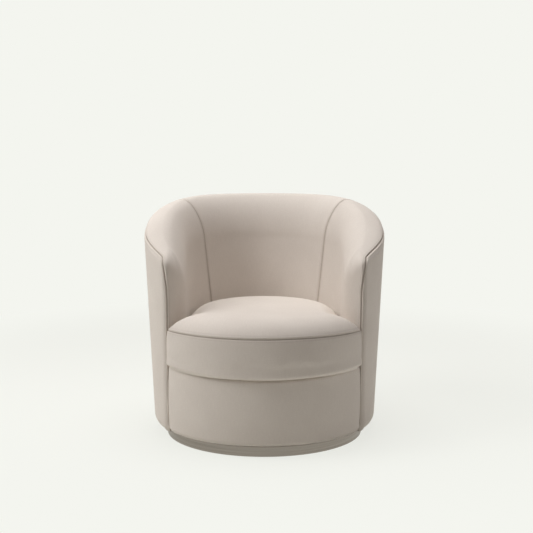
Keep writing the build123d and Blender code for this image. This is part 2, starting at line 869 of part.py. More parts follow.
def make_ball_cage():
    half = cage_width / 2
    ring = Circle(race_radius + half) - Circle(race_radius - half)
    cage = Pos(0, 0, ball_z - cage_thickness / 2) * extrude(ring, cage_thickness)
    holes = polar_points(race_radius, ball_count)
    cage = drill(cage, holes, ball_radius + ball_clearance, ball_z - 1, ball_z + 1)
    return swivel_axis * cage


# ---------------------------------------------------------------- assembly
def main():
    os.makedirs("parts", exist_ok=True)
    nodes = {}

    nodes["floor_glides"] = Compound(make_glides())
    nodes["base_board"] = make_base_board()
    nodes["plinth_hoop"] = make_plinth_hoop()
    nodes["plinth_band"] = make_plinth_band()
    nodes["swivel_lower_plate"] = make_lower_plate()
    nodes["swivel_pin"] = make_swivel_pin()
    plate_points = [(x, y - swivel_setback) for x, y in square_points(plate_screw_offset)]
    lower_seat = lower_plate_z + plate_thickness
    nodes["lower_plate_screws"] = Compound(make_screws(plate_points, lower_seat, False, screw_length - 1.0))
    nodes["ball_cage"] = make_ball_cage()
    nodes["bearing_balls"] = Compound(make_balls())
    nodes["swivel_upper_plate"] = make_upper_plate()
    nodes["upper_plate_screws"] = Compound(make_screws(plate_points, upper_plate_z, True, screw_length))

    rail_hole = screw_shank_radius + screw_clearance
    for name, side in (("swivel_rail_front", -1), ("swivel_rail_back", 1)):
        rail = make_swivel_rail(side)
        nodes[name] = drill(
            rail, plate_points, rail_hole, swivel_rail_z - 1, upper_plate_z + screw_length + seat_gap
        )

    top_rail = loft_sections(top_rail_section) & behind(arm_front_pad_y + seat_gap)
    posts = make_posts(top_rail)
    post_feet = []
    for angle in post_angles:
        for sign in (1, -1):
            a = math.radians(angle * sign)
            r = foot_radius - bottom_roll - post_foot_inset
            post_feet.append((-r * math.sin(a), r * math.cos(a)))
    post_screw_seat = ring_bottom_z + screw_head_height + seat_gap
    foot_top = post_screw_seat + post_screw_length
    ring = drill(make_bottom_ring(), post_feet, rail_hole, ring_bottom_z - 1, ring_top_z + 1)
    head_hole = screw_head_radius + screw_clearance
    nodes["bottom_ring"] = drill(ring, post_feet, head_hole, ring_bottom_z - 1, post_screw_seat)
    nodes["post_screws"] = Compound(make_screws(post_feet, post_screw_seat, True, post_screw_length))
    nodes["top_rail"] = top_rail
    front_rail = make_front_rail(posts)
    for name, post in posts.items():
        nodes[name] = drill(post, post_feet, rail_hole, ring_bottom_z, foot_top + seat_gap)
    nodes["seat_rail"] = make_seat_rail()
    nodes["front_rail"] = front_rail
    nodes["front_board"] = make_front_board()
    nodes["outer_board"] = loft_sections(outer_board_section) & behind(arm_front_pad_y + seat_gap)
    nodes["inner_board"] = loft_sections(inner_board_section) & behind(inner_board_front_y)
    nodes["dust_cover"] = make_dust_cover()
    nodes["springs"] = Compound(make_springs())
    nodes["spring_clips"] = Compound(make_spring_clips())
    nodes["deck_pad"] = make_deck_pad()

    back, left, right = make_pads()
    nodes["inside_back_pad"] = back
    nodes["inside_arm_pad_left"] = left
    nodes["inside_arm_pad_right"] = right
    nodes["outer_cover"] = make_outer_cover()
    nodes["front_panel_pad"] = make_front_panel_pad()

    cover, core = make_cushion()
    nodes["cushion_cover"] = cover
    nodes["cushion_core"] = core
    nodes["cushion_zip"] = make_zip()
    nodes["zip_slider"] = make_zip_slider()

    for name, shape in nodes.items():
        export_step(shape, f"parts/{name}.step")


if __name__ == "__main__":
    main()
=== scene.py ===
import bpy
import json
import math
from bisect import bisect_right
from functools import lru_cache
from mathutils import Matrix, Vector
from mathutils.kdtree import KDTree


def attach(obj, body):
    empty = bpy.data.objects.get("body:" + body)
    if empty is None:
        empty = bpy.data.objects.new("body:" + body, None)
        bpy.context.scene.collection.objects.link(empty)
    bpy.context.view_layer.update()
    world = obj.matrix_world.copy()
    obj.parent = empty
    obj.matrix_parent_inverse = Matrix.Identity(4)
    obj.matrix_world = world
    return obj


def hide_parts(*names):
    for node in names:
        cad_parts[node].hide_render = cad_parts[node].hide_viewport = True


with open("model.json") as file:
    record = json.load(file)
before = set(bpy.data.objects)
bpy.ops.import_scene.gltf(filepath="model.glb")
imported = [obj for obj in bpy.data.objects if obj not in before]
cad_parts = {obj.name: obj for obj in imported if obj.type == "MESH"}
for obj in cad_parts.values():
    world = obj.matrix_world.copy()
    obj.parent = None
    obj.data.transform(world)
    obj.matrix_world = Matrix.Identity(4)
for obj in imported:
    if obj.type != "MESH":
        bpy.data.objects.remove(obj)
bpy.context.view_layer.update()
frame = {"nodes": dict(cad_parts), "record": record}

nodes = frame["nodes"]
scene = bpy.context.scene
scene.view_settings.view_transform = "Standard"
fullTurn = 2 * math.pi
quarterTurn = math.pi / 2
seamSteps = (0.0, 0.001, 0.002, 0.0032, 0.0046, 0.006, 0.0070, 0.0080, 0.0090, 0.0105, 0.0128, 0.016)
weldWithin = 0.00005
print("frame loaded:", len(nodes), "nodes")


def clamp(value, low=0.0, high=1.0):
    return min(max(value, low), high)


def mix(first, second, share):
    return first + (second - first) * share


def smooth(share):
    share = clamp(share)
    return share * share * (3 - 2 * share)


def bell(distance, width):
    return math.exp(-((distance / width) ** 2))


def edgeSteps(length, step):
    # distances along a run, fine beside both ends and even in between
    inside = length - 2 * seamSteps[-1]
    count = max(2, int(round(inside / step)))
    middle = [seamSteps[-1] + inside * i / count for i in range(1, count)]
    return list(seamSteps) + middle + [length - edge for edge in reversed(seamSteps)]


def freshObject(name):
    # a one-face primitive whose mesh is then drawn over
    bpy.ops.object.select_all(action="DESELECT")
    bpy.ops.mesh.primitive_plane_add(size=1.0, location=(0, 0, 0))
    made = bpy.context.active_object
    made.name = name
    made.data.name = name
    made.data.clear_geometry()
    return made


class Cloth:
    # patches of cloth gathered into one mesh, with the cloth's own flat measures as its UV map
    def __init__(self):
        self.points, self.flat, self.faces = [], [], []

    def patch(self, rows, heart):
        # rows of (point, (u, v)), as many points in each; faces turn away from the heart
        start = len(self.points)
        width = len(rows[0])
        i, j = len(rows) // 2, width // 2
        here, across, down = rows[i][j][0], rows[i][j + 1][0], rows[i + 1][j][0]
        flip = (across - here).cross(down - here).dot(here - Vector(heart)) < 0
        for row in rows:
            for point, flat in row:
                self.points.append(Vector(point))
                self.flat.append(flat)
        for i in range(len(rows) - 1):
            for j in range(width - 1):
                corner = start + i * width + j
                quad = (corner, corner + 1, corner + width + 1, corner + width)
                self.faces.append(tuple(reversed(quad)) if flip else quad)

    def make(self, name, thickness, sewn=True):
        piece = freshObject(name)
        mesh = piece.data
        mesh.from_pydata([tuple(p) for p in self.points], [], self.faces)
        uv = mesh.uv_layers.new(name="cloth")
        for loop in mesh.loops:
            uv.data[loop.index].uv = self.flat[loop.vertex_index]
        selectOnly(piece)
        bpy.ops.object.mode_set(mode="EDIT")
        bpy.ops.mesh.select_all(action="SELECT")
        bpy.ops.mesh.remove_doubles(threshold=weldWithin)
        bpy.ops.object.mode_set(mode="OBJECT")
        if sewn:
            near = [sewing.find(v.co) for v in mesh.vertices]
            pulls = [seamPulls[index] for point, index, distance in near]
            sew(piece, [distance for point, index, distance in near], pulls)
        solid = piece.modifiers.new("wadding", "SOLIDIFY")
        solid.thickness = thickness
        solid.offset = -1.0
        solid.use_quality_normals = True
        applyAll(piece)
        bpy.ops.object.shade_smooth()
        return piece


def selectOnly(piece):
    bpy.ops.object.select_all(action="DESELECT")
    piece.select_set(True)
    bpy.context.view_layer.objects.active = piece


def sew(piece, distances, pulls):
    # seams pull the cloth in, and their grooves and stitch channels get painted shade through the seam
    # attribute
    mesh = piece.data
    for v, distance, pull in zip(mesh.vertices, distances, pulls):
        v.co += pull * seamPull(distance)
    shade = mesh.attributes.new("seam", "FLOAT", "POINT")
    shade.data.foreach_set("value", [seamShade(distance) for distance in distances])
    mesh.update()


def applyAll(piece):
    selectOnly(piece)
    for modifier in list(piece.modifiers):
        bpy.ops.object.modifier_apply(modifier=modifier.name)


def pathLengths(points):
    lengths = [0.0]
    for first, second in zip(points, points[1:]):
        lengths.append(lengths[-1] + (second - first).length)
    return lengths


class Wire:
    # wraps one socket, so that sums on it add Math nodes
    def __init__(self, tree, socket=None):
        self.tree, self.socket = tree, socket

    def node(self, kind, settings=None, inputs=None, output=0):
        made = self.tree.nodes.new(kind)
        for key, value in (settings or {}).items():
            setattr(made, key, value)
        for key, value in (inputs or {}).items():
            if isinstance(value, Wire):
                self.tree.links.new(value.socket, made.inputs[key])
            else:
                made.inputs[key].default_value = value
        return Wire(self.tree, made.outputs[output])

    def output(self, key):
        # another output of the same node
        return Wire(self.tree, self.socket.node.outputs[key])

    def plug(self, shader, socket):
        self.tree.links.new(self.socket, shader.inputs[socket])

    def mixed(self, share, first, second):
        inputs = {0: share, 6: first, 7: second}
        return self.node("ShaderNodeMix", {"data_type": "RGBA", "clamp_factor": True}, inputs, 2)

    def sum(self, operation, first, second):
        return self.node("ShaderNodeMath", {"operation": operation}, {0: first, 1: second})

    def __add__(self, other):
        return self.sum("ADD", self, other)

    def __radd__(self, other):
        return self.sum("ADD", other, self)

    def __sub__(self, other):
        return self.sum("SUBTRACT", self, other)

    def __rsub__(self, other):
        return self.sum("SUBTRACT", other, self)

    def __mul__(self, other):
        return self.sum("MULTIPLY", self, other)

    def __rmul__(self, other):
        return self.sum("MULTIPLY", other, self)

    def wave(self):
        return self.node("ShaderNodeMath", {"operation": "SINE"}, {0: self})

    def within(self, low, high):
        return self.node(
            "ShaderNodeMapRange",
            {"interpolation_type": "SMOOTHSTEP"},
            {"Value": self, "From Min": low, "From Max": high},
        )


def startMaterial(name):
    material = bpy.data.materials.new(name)
    material.use_nodes = True
    tree = material.node_tree
    return material, Wire(tree), tree.nodes["Principled BSDF"]


def linear(red, green, blue):
    # a colour as it is seen on a screen, in 0 to 255, made into the shader's own scale
    parts = []
    for part in (red, green, blue):
        part = part / 255
        parts.append(part / 12.92 if part <= 0.04045 else ((part + 0.055) / 1.055) ** 2.4)
    return (*parts, 1.0)


def objectPlace(start):
    return start.node("ShaderNodeTexCoord", None, None, 3)


def scaled(start, place, scale):
    return start.node("ShaderNodeMapping", None, {"Vector": place, "Scale": scale})


def speckle(start, place, scale, detail, rough=0.5):
    return start.node(
        "ShaderNodeTexNoise",
        {"noise_dimensions": "3D"},
        {"Vector": place, "Scale": scale, "Detail": detail, "Roughness": rough},
    )


def relief(start, shader, height, strength, depth):
    inputs = {"Strength": strength, "Distance": depth, "Height": height}
    start.node("ShaderNodeBump", None, inputs).plug(shader, "Normal")


view = {
    "place": (0.007, -3.348, 0.938),
    "tilt": 6.6,
    "lens": 67.54,
    "sensor": 36.0,
}


def makeCamera():
    lens = bpy.data.cameras.new("camera")
    lens.lens = view["lens"]
    lens.sensor_width = view["sensor"]
    lens.sensor_fit = "HORIZONTAL"
    camera = bpy.data.objects.new("camera", lens)
    scene.collection.objects.link(camera)
    camera.location = view["place"]
    camera.rotation_euler = (math.radians(90 - view["tilt"]), 0, 0)
    scene.camera = camera


makeCamera()
print("camera set")


cloth = {
    "light": (231, 223, 214),
    "dark": (207, 197, 188),
    # groove: the colour of the painted shade in the seams' grooves
    "groove": (146, 130, 117),
    "paintedSeamShade": 0.68,                  # how much of the groove's colour a seam takes on, as painted shade in its groove and stitch channel
    "thread": 0.0011,
    "streak": (900.0, 40.0, 1.0),  # scale of the noise along the upright threads
    "dash": (90.0, 1100.0, 1.0),   # and along the level ones
    "slub": (0.56, 0.74),          # only the peaks of the dashes show, as thick threads
    "cloud": 7.0,
    "shade": {"streak": 0.5, "cloud": 0.5, "slub": 0.35, "weave": 0.14},
    "height": {"weave": 0.30, "streak": 0.35, "slub": 0.35, "cloud": 0.5},
    "rough": 0.93, "roughStreak": 0.12,
    "bump": 0.4, "bumpDepth": 0.0006,
    "sheen": 0.10, "sheenRough": 0.6, "specular": 0.2,
}


def makeClothMaterial(name, light, dark, onUv=True):
    material, start, shader = startMaterial(name)
    place = start.node("ShaderNodeUVMap", {"uv_map": "cloth"}) if onUv else objectPlace(start)
    parts = start.node("ShaderNodeSeparateXYZ", None, {0: place})
    turn = fullTurn / (2 * cloth["thread"])
    weave = (parts.output(0) * turn).wave() * (parts.output(1 if onUv else 2) * turn).wave()
    streak = speckle(start, scaled(start, place, cloth["streak"]), 1.0, 2.0)
    dash = speckle(start, scaled(start, place, cloth["dash"]), 1.0, 2.0)
    cloud = speckle(start, place, cloth["cloud"], 3.0)
    slub = dash.within(*cloth["slub"])
    amount = cloth["shade"]
    shade = 0.5 + (streak - 0.5) * amount["streak"] + (cloud - 0.5) * amount["cloud"]
    shade = shade + slub * amount["slub"] + weave * amount["weave"]
    colour = start.mixed(shade, linear(*dark), linear(*light))
    if onUv:
        # painted shade along the seams and their stitch channels, read from the seam attribute
        seam = start.node("ShaderNodeAttribute", {"attribute_name": "seam"}, None, 2)
        colour = start.mixed(seam * cloth["paintedSeamShade"], colour, linear(*cloth["groove"]))
    colour.plug(shader, "Base Color")
    (cloth["rough"] - streak * cloth["roughStreak"]).plug(shader, "Roughness")
    amount = cloth["height"]
    height = weave * amount["weave"] + streak * amount["streak"]
    height = height + slub * amount["slub"] + cloud * amount["cloud"]
    relief(start, shader, height, cloth["bump"], cloth["bumpDepth"])
    shader.inputs["Sheen Weight"].default_value = cloth["sheen"]
    shader.inputs["Sheen Roughness"].default_value = cloth["sheenRough"]
    shader.inputs["Specular IOR Level"].default_value = cloth["specular"]
    return material


upholstery = makeClothMaterial("upholstery", cloth["light"], cloth["dark"])
print("cloth made")


wall = {
    "rimBack": 0.782, "rimBackFall": 0.034,  # heights of the crest, the same measures as the CAD model
    "rimArm": 0.599, "rimArmY": -0.200, "rimArmFall": 0.22,
    "blendFront": -0.299, "blendBack": 0.358, "rimCircle": 0.380,
    "top": 0.400, "foot": 0.373, "footZ": 0.070, "footRoll": 0.034,
    "inner": 0.257, "lean": 0.145, "leanZ": 0.371,
    "nose": 0.028, "reachTop": 0.390, "reachFoot": 0.3825, "noseRun": 0.50,
    "noseFrom": 96.0, "noseSpan": 26.0,      # degrees in which the wall's radius turns into the nose's reach
    "seamTop": (0.3085, 0.223), "seamFoot": (0.3035, 0.2145),
    "roundX": 0.3918, "roundY": -0.117, "roundRadius": 0.1348,
    "seamNear": (0.1900, 0.1810), "seamFar": (0.3330, 0.2260),
    "spineBack": 0.371, "spineArm": 0.342, "spineEnd": 113.5, "spineFrom": 0.5, "spineSpan": 0.8,
    "deckZ": 0.251,
}
rolls = {  # how far each roll falls from the crest, and how square its shoulder is
    "outer": (0.030, 2.6),
    "nose": (0.030, 2.9),
    "front": (0.072, 2.1),
    "arm": (0.115, 1.75),
    "back": (0.155, 1.6),
}
rollBlend = {
    "noseFrom": 0.6, "noseSpan": 0.4,             # share of the arm over which its roll turns into the nose's
    "armFrom": 0.7, "armSpan": 1.0, "armZ": 0.5,  # angle over which the back's inner roll turns into the arm's
}
lines = {  # how a line of cloth is worked out: parts of its roll, first guesses, and spacings
    "rollParts": 40, "faceZ": 0.58, "startAngle": 0.8, "rounds": 3, "margin": 0.001,
    "nosePacking": 1.9, "crestFrom": 0.1, "crestTo": 0.88,
}
crestSeam = {  # how far the seam lies below the crest, and how it drops over the nose
    "drop": 0.0197, "riseFrom": 0.45, "riseSpan": 0.55,
    "noseDrop": 0.006, "noseFall": 0.097, "nosePower": 2.8,
}
seams = {
    "dip": 0.0038, "width": 0.0028,
    "lip": 0.0007, "lipAt": 0.0062, "lipWidth": 0.0030,
    "stitch": 0.0080, "stitchDip": 0.0009, "stitchWidth": 0.0011,
    # painted shade along the seams: its width, and its strength and width in the stitch channel
    "shadeWidth": 0.0019, "stitchShade": 0.28, "stitchShadeWidth": 0.0012,
}
sewingDetail = {"back": 40, "arm": 60, "nose": 40, "upright": 90, "step": 0.0005, "depth": 0.05}


def rimHeight(angle):
    y = wall["rimCircle"] * math.cos(angle)
    share = smooth((y - wall["blendFront"]) / (wall["blendBack"] - wall["blendFront"]))
    arm = wall["rimArm"] + wall["rimArmFall"] * (y - wall["rimArmY"])
    back = wall["rimBack"] - wall["rimBackFall"] * (wall["rimCircle"] - y)
    return mix(arm, back, share)


def crestOver(place):
    return rimHeight(math.atan2(-place.x, place.y))


@lru_cache(maxsize=None)
def noseAt(z):
    # the nose's centre, the angle at which it leaves the wall, its seam and its reach, on the left side
    share = clamp((z - wall["footZ"]) / wall["noseRun"])
    reach = mix(wall["reachFoot"], wall["reachTop"], share)
    seamX = mix(wall["seamFoot"][0], wall["seamTop"][0], share)
    seamY = mix(wall["seamFoot"][1], wall["seamTop"][1], share)
    far = math.hypot(seamX, seamY)
    near = reach - wall["nose"]
    turn = math.acos(clamp((near**2 + far**2 - wall["nose"] ** 2) / (2 * near * far), -1, 1))
    angle = math.atan2(seamX, -seamY) - turn
    centre = Vector((-near * math.sin(angle), near * math.cos(angle)))
    return centre, angle, Vector((-seamX, -seamY)), reach


@lru_cache(maxsize=None)
def outerRadius(angle, z):
    top = rimHeight(angle) - rolls["outer"][0]
    cone = mix(wall["foot"], wall["top"], (z - wall["footZ"]) / (top - wall["footZ"]))
    share = smooth((angle - math.radians(wall["noseFrom"])) / math.radians(wall["noseSpan"]))
    return mix(cone, noseAt(z)[3], share)


def innerRadius(angle, z):
    base = wall["inner"]
    if angle > quarterTurn:
        base = wall["inner"] / math.sin(angle)
    lean = wall["lean"] * ((1 + math.cos(angle)) / 2) ** 2
    return base + lean * max(0.0, z - wall["leanZ"])


@lru_cache(maxsize=None)
def backSeamAngle(radius):
    # the seam between back and arm is an upright plane, and this is where it crosses a radius
    near = Vector(wall["seamNear"])
    way = Vector(wall["seamFar"]) - near
    square, double, rest = way.dot(way), 2 * near.dot(way), near.dot(near) - radius * radius
    share = (-double + math.sqrt(max(double * double - 4 * square * rest, 0.0))) / (2 * square)
    hit = near + way * share
    return math.atan2(hit.x, hit.y)


def around(angle, radius):
    return Vector((-radius * math.sin(angle), radius * math.cos(angle)))


class Column:
    # one line of cloth on the left half, read by its distance from the middle of the crest
    def __init__(self, kind, share):
        self.kind, self.share = kind, share
        self.spine = self.spineAt()
        self.fall, self.shoulder = self.rollAt()
        self.face = crestOver(self.plan(lines["faceZ"])) - self.fall
        self.edge = self.plan(self.face)
        self.face = crestOver(self.edge) - self.fall
        turns = [quarterTurn * i / lines["rollParts"] for i in range(lines["rollParts"] + 1)]
        self.lengths = pathLengths([self.rolled(turn) for turn in turns])
        self.arc = self.lengths[-1]

    def angleFor(self, radius, end):
        seam = backSeamAngle(radius)
        return seam * self.share if self.kind in ("backOuter", "backInner") else mix(seam, end, self.share)

    def spineAt(self):
        end = math.radians(wall["spineEnd"])
        if self.kind in ("nose", "front"):
            return around(end, wall["spineArm"])
        angle = self.angleFor(wall["spineBack"], end)
        share = smooth((angle - wall["spineFrom"]) / wall["spineSpan"])
        return around(angle, mix(wall["spineBack"], wall["spineArm"], share))

    def rollAt(self):
        first, second, share = "outer", "nose", 0.0
        if self.kind == "outer":
            share = smooth((self.share - rollBlend["noseFrom"]) / rollBlend["noseSpan"])
        elif self.kind == "nose":
            share = 1.0
        elif self.kind == "front" and self.share < 0.5:
            first, second, share = "nose", "front", smooth(2 * self.share)
        elif self.kind == "front":
            first, second, share = "front", "arm", smooth(2 * self.share - 1)
        elif self.kind in ("inner", "backInner"):
            angle = self.innerAngle(rollBlend["armZ"])
            first, second = "back", "arm"
            share = smooth((angle - rollBlend["armFrom"]) / rollBlend["armSpan"])
        return [mix(a, b, share) for a, b in zip(rolls[first], rolls[second])]

    def innerAngle(self, z):
        angle = lines["startAngle"]
        for _ in range(lines["rounds"]):
            angle = self.angleFor(innerRadius(angle, z), math.atan2(wall["inner"], wall["roundY"]))
        return angle

    def plan(self, z):
        # where the face stands at this height, below the roll
        if self.kind in ("outer", "backOuter"):
            angle = self.angleFor(wall["top"] - lines["margin"], noseAt(z)[1])
            return around(angle, outerRadius(angle, z))
        if self.kind == "nose":
            centre, angle, seam, reach = noseAt(z)
            first = math.atan2(math.cos(angle), -math.sin(angle)) % fullTurn
            last = math.atan2(seam.y - centre.y, seam.x - centre.x) % fullTurn
            turn = mix(first, last, self.share)
            return centre + Vector((math.cos(turn), math.sin(turn))) * wall["nose"]
        if self.kind == "front":
            seam = noseAt(z)[2]
            top = Vector((-wall["seamTop"][0], -wall["seamTop"][1]))
            centre = Vector((-wall["roundX"], wall["roundY"]))
            turn = math.atan2(top.y - centre.y, top.x - centre.x) * (1 - self.share)
            way = Vector((math.cos(turn), math.sin(turn)))
            return centre + way * wall["roundRadius"] + (seam - top) * (1 - self.share)
        angle = self.innerAngle(z)
        return around(angle, innerRadius(angle, z))

    def rolled(self, turn):
        # a point of the roll, from the middle of the crest at no turn to the face at a quarter turn
        power = 2 / self.shoulder
        place = self.spine.lerp(self.edge, math.sin(turn) ** power)
        fall = self.fall * (1 - max(math.cos(turn), 0.0) ** power)
        return Vector((*place, crestOver(place) - fall))

    def at(self, s):
        # the point at a distance: on the roll, or below it on the face
        if s >= self.arc:
            z = self.face - (s - self.arc)
            return Vector((*self.plan(z), z))
        k = min(bisect_right(self.lengths, s), lines["rollParts"]) - 1
        part = (s - self.lengths[k]) / (self.lengths[k + 1] - self.lengths[k])
        return self.rolled(quarterTurn * (k + part) / lines["rollParts"])

    def down(self, z):
        # the distance at which this column reaches a height
        return self.arc + self.face - z

    def seamAt(self):
        # the distance at which the seam round the outside of the crest crosses this column
        drop = crestSeam["drop"]
        if self.kind == "nose":
            drop = crestSeam["noseDrop"] + crestSeam["noseFall"] * self.share ** crestSeam["nosePower"]
        elif self.kind == "outer":
            share = smooth((self.share - crestSeam["riseFrom"]) / crestSeam["riseSpan"])
            drop = mix(crestSeam["drop"], crestSeam["noseDrop"], share)
        if drop >= self.fall:
            return self.arc + drop - self.fall
        turn = math.acos((1 - drop / self.fall) ** (self.shoulder / 2))
        place = lines["rollParts"] * turn / quarterTurn
        return mix(self.lengths[int(place)], self.lengths[int(place) + 1], place % 1)


def columnsOf(kind, shares):
    return [Column(kind, share) for share in shares]


def evenShares(count):
    return [i / count for i in range(count + 1)]


def closeShares(length, step):
    return [d / length for d in edgeSteps(length, step)]


def noseShares(count):
    # closer together towards the arm's front
    return [1 - (1 - share) ** lines["nosePacking"] for share in evenShares(count)]


def crestShares(run, rows, first):
    # shares of the way from the middle of the crest to the seam, closer together beside the seam
    shares = [1 - share for share in reversed(closeShares(run, run / rows)) if share <= lines["crestTo"]]
    return first + [share for share in shares if share > lines["crestFrom"]]


def mirrored(rows):
    return [[(Vector((-p.x, p.y, p.z)), (-uv[0], uv[1])) for p, uv in row] for row in rows]


def core(column):
    # a point inside the padding, towards which a seam on this column is drawn
    return Vector((*column.spine, crestOver(column.spine) - sewingDetail["depth"]))


def sewingLines():
    # every seam of the wall as a string of close points, so that any point of the cloth knows its distance
    top = columnsOf("backOuter", evenShares(sewingDetail["back"])[:-1])
    top += columnsOf("outer", evenShares(sewingDetail["arm"])[:-1])
    top += columnsOf("nose", evenShares(sewingDetail["nose"]))
    strings = [[(c.at(c.seamAt()), core(c)) for c in top]]
    backOut, backIn = Column("outer", 0.0), Column("inner", 0.0)
    for column, first, last in (
        (top[-1], top[-1].seamAt(), top[-1].down(wall["footZ"])),
        (backOut, 0.0, backOut.seamAt()),
        (backIn, 0.0, backIn.down(wall["deckZ"])),
    ):
        shares = evenShares(sewingDetail["upright"])
        strings.append([(column.at(mix(first, last, share)), core(column)) for share in shares])
    points = []
    for string in strings:
        for (first, firstCore), (second, secondCore) in zip(string, string[1:]):
            count = max(1, round((second - first).length / sewingDetail["step"]))
            for i in range(count):
                point, heart = first.lerp(second, i / count), firstCore.lerp(secondCore, i / count)
                heart.z = min(heart.z, point.z)
                points.append((point, (heart - point).normalized()))
    tree = KDTree(2 * len(points))
    pulls = []
    for point, pull in points:
        for side in (1, -1):
            tree.insert(Vector((side * point.x, point.y, point.z)), len(pulls))
            pulls.append(Vector((side * pull.x, pull.y, pull.z)))
    tree.balance()
    return tree, pulls


def seamPull(distance):
    # the groove of a seam, its soft lip, and the shallow channel of the stitching beside it
    groove = seams["dip"] * bell(distance, seams["width"])
    lip = seams["lip"] * bell(distance - seams["lipAt"], seams["lipWidth"])
    return groove - lip + seams["stitchDip"] * bell(distance - seams["stitch"], seams["stitchWidth"])


def seamShade(distance):
    # painted shade: dark in a seam's groove and fainter in its stitch channel
    stitching = seams["stitchShade"] * bell(distance - seams["stitch"], seams["stitchShadeWidth"])
    return bell(distance, seams["shadeWidth"]) + stitching


sewing, seamPulls = sewingLines()
print("seams laid out")


armPad = {
    "run": 0.50, "columns": 0.0085, "nose": 34, "frontRun": 0.118, "front": 0.0055,
    "crestRun": 0.11, "crestRows": 24, "crestFirst": [0.0, 0.05], "faceRows": 54,
    "heart": (0.33, 0, 0.35), "measureZ": 0.50, "insideU": 0.7, "thickness": 0.008,
}


def makeArmPad(name, flip):
    shares = closeShares(armPad["run"], armPad["columns"])
    outers, inners = columnsOf("outer", shares), columnsOf("inner", shares)
    noses = columnsOf("nose", noseShares(armPad["nose"]))
    fronts = columnsOf("front", closeShares(armPad["frontRun"], armPad["front"]))
    heartX, heartY, heartZ = armPad["heart"]
    heart = (heartX if flip else -heartX, heartY, heartZ)
    crest = crestShares(armPad["crestRun"], armPad["crestRows"], armPad["crestFirst"])
    made = Cloth()

    # outer half of the crest, from the back seam round the nose, out to the seam
    lip = outers + noses[1:]
    along = pathLengths([c.at(c.seamAt()) for c in lip])
    rows = []
    for column, u in zip(lip, along):
        length = column.seamAt()
        rows.append([(column.at(length * share), (u, -length * share)) for share in crest])
    made.patch(mirrored(rows) if flip else rows, heart)

    # inner half of the crest, the arm's front and the inside, down to the deck
    face = fronts + list(reversed(inners))[1:]
    along = pathLengths([c.plan(armPad["measureZ"]) for c in face])
    first, count = noses[-1].seamAt(), armPad["faceRows"]
    rows = []
    for column, u in zip(face, along):
        run = column.down(wall["deckZ"]) - first
        distances = [first * share for share in crest]
        distances += [first + run * i / count for i in range(1, count + 1)]
        rows.append([(column.at(s), (u + armPad["insideU"], -s)) for s in distances])
    made.patch(mirrored(rows) if flip else rows, heart)
    return made.make(name, armPad["thickness"])


for padName, node, flip in (
    ("armPadLeftSide", "inside_arm_pad_left", False),
    ("armPadRightSide", "inside_arm_pad_right", True),
):
    pad = makeArmPad(padName, flip)
    pad.data.materials.append(upholstery)
    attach(pad, "seat")
    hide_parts(node)
print("arm pads made")


backPad = {
    "run": 0.56, "step": 0.0085, "crestRun": 0.08, "crestRows": 20, "crestFirst": [0.05], "faceRows": 74,
    "heart": (0, 0.33, 0.35), "halfU": 0.27, "thickness": 0.008,
}


def makeBackPad():
    rows = []
    crest = crestShares(backPad["crestRun"], backPad["crestRows"], backPad["crestFirst"])
    for share in [2 * s - 1 for s in closeShares(backPad["run"], backPad["step"])]:
        outer = Column("backOuter", abs(share))
        inner = Column("backInner", abs(share))
        length, bottom = outer.seamAt(), inner.down(wall["deckZ"])
        u = share * backPad["halfU"]
        row = [(outer.at(length * part), (u, length * part)) for part in reversed(crest)]
        for i in range(backPad["faceRows"] + 1):
            s = bottom * i / backPad["faceRows"]
            row.append((inner.at(s), (u, -s)))
        side = 1 if share < 0 else -1
        rows.append([(Vector((p.x * side, p.y, p.z)), uv) for p, uv in row])
    made = Cloth()
    made.patch(rows, backPad["heart"])
    return made.make("insideBack", backPad["thickness"])


insideBack = makeBackPad()
insideBack.data.materials.append(upholstery)
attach(insideBack, "seat")
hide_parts("inside_back_pad")
print("back pad made")


outerCover = {
    "back": 26, "arm": 46, "nose": 34, "measure": 0.1,
    "closeRun": 0.2, "closeStep": 0.01, "closeEnd": 0.02, "rows": 46, "footRows": 10, "noseTuck": 0.62,
    "heart": (0, 0, 0.3), "thickness": 0.005,
}


def makeOuterCover():
    half = columnsOf("backOuter", evenShares(outerCover["back"])[:-1])
    half += columnsOf("outer", evenShares(outerCover["arm"])[:-1])
    half += columnsOf("nose", noseShares(outerCover["nose"]))
    along = pathLengths([c.at(c.arc + outerCover["measure"]) for c in half])
    closeEnd, count, footRoll = outerCover["closeEnd"], outerCover["rows"], wall["footRoll"]
    close = [d for d in edgeSteps(outerCover["closeRun"], outerCover["closeStep"]) if d < closeEnd]
    rows = []
    for column, u in zip(half, along):
        first = column.seamAt()
        run = column.down(wall["footZ"]) - first
        distances = close + [closeEnd + (run - closeEnd) * i / count for i in range(count + 1)]
        row = [(column.at(first + d), (u, -d)) for d in distances]
        foot = column.plan(wall["footZ"])
        onNose = column.kind == "nose"
        way = (foot - noseAt(wall["footZ"])[0]).normalized() if onNose else foot.normalized()
        for i in range(1, outerCover["footRows"] + 1):
            turn = quarterTurn * i / outerCover["footRows"]
            spot = foot - way * footRoll * (1 - math.cos(turn)) * (outerCover["noseTuck"] if onNose else 1)
            low = wall["footZ"] - footRoll * math.sin(turn)
            row.append((Vector((*spot, low)), (u, -run - footRoll * turn)))
        rows.append(row)
    made = Cloth()
    made.patch(rows, outerCover["heart"])
    made.patch(mirrored(rows), outerCover["heart"])
    return made.make("outsideCover", outerCover["thickness"])


outside = makeOuterCover()
outside.data.materials.append(upholstery)
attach(outside, "seat")
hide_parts("outer_cover")
print("outside cover made")


